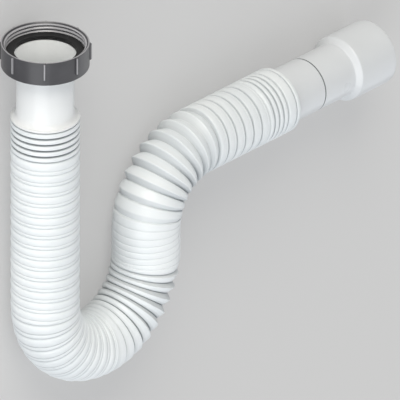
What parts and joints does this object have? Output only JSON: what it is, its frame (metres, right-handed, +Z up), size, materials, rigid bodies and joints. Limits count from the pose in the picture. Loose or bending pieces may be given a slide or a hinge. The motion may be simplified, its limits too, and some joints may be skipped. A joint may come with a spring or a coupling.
{
  "type": "extendable flexible waste pipe",
  "caption": "Corrugated extendable waste pipe bent in an S, with a loose union nut and washer at the inlet and a stepped push-in spigot at the outlet.",
  "frame": {"origin": "middle of the base of the pipe's box, on the surface that it lies on", "axes": "+Z up, across the plane that the pipe is bent in; +X along the outlet, towards the cuff; +Y along the inlet, towards the nut"},
  "size_m": [0.3102, 0.236, 0.0533],
  "materials": {
    "nut_plastic": "moulded dark grey polypropylene, satin",
    "washer_rubber": "smooth black rubber",
    "neck_plastic": "moulded white polypropylene, smooth",
    "hose_plastic": "blow-moulded white polypropylene, smooth",
    "spigot_plastic": "moulded white polypropylene, smooth"
  },
  "bodies": {
    "hose": {"bellows_hose": "hose_plastic"},
    "inlet": {"inlet_neck": "neck_plastic", "sealing_washer": "washer_rubber"},
    "nut": {"coupling_nut": "nut_plastic"},
    "outlet": {"outlet_spigot": "spigot_plastic"}
  },
  "joints": [
    {"name": "inlet_extension", "type": "slide", "parent": "hose", "child": "inlet", "axis": [0.0002, 0.9996, 0.0291], "range_m": [-0.045, 0.015], "deforming": ["bellows_hose"]},
    {"name": "nut_turn", "type": "hinge", "parent": "inlet", "child": "nut", "pos_m": [-0.12864, 0.11731, 0.02686], "axis": [0.0002, 0.9996, 0.0291], "continuous": true},
    {"name": "outlet_extension", "type": "slide", "parent": "hose", "child": "outlet", "axis": [0.9996, -0.0243, -0.0122], "range_m": [-0.021, 0.012], "deforming": ["bellows_hose"]}
  ]
}
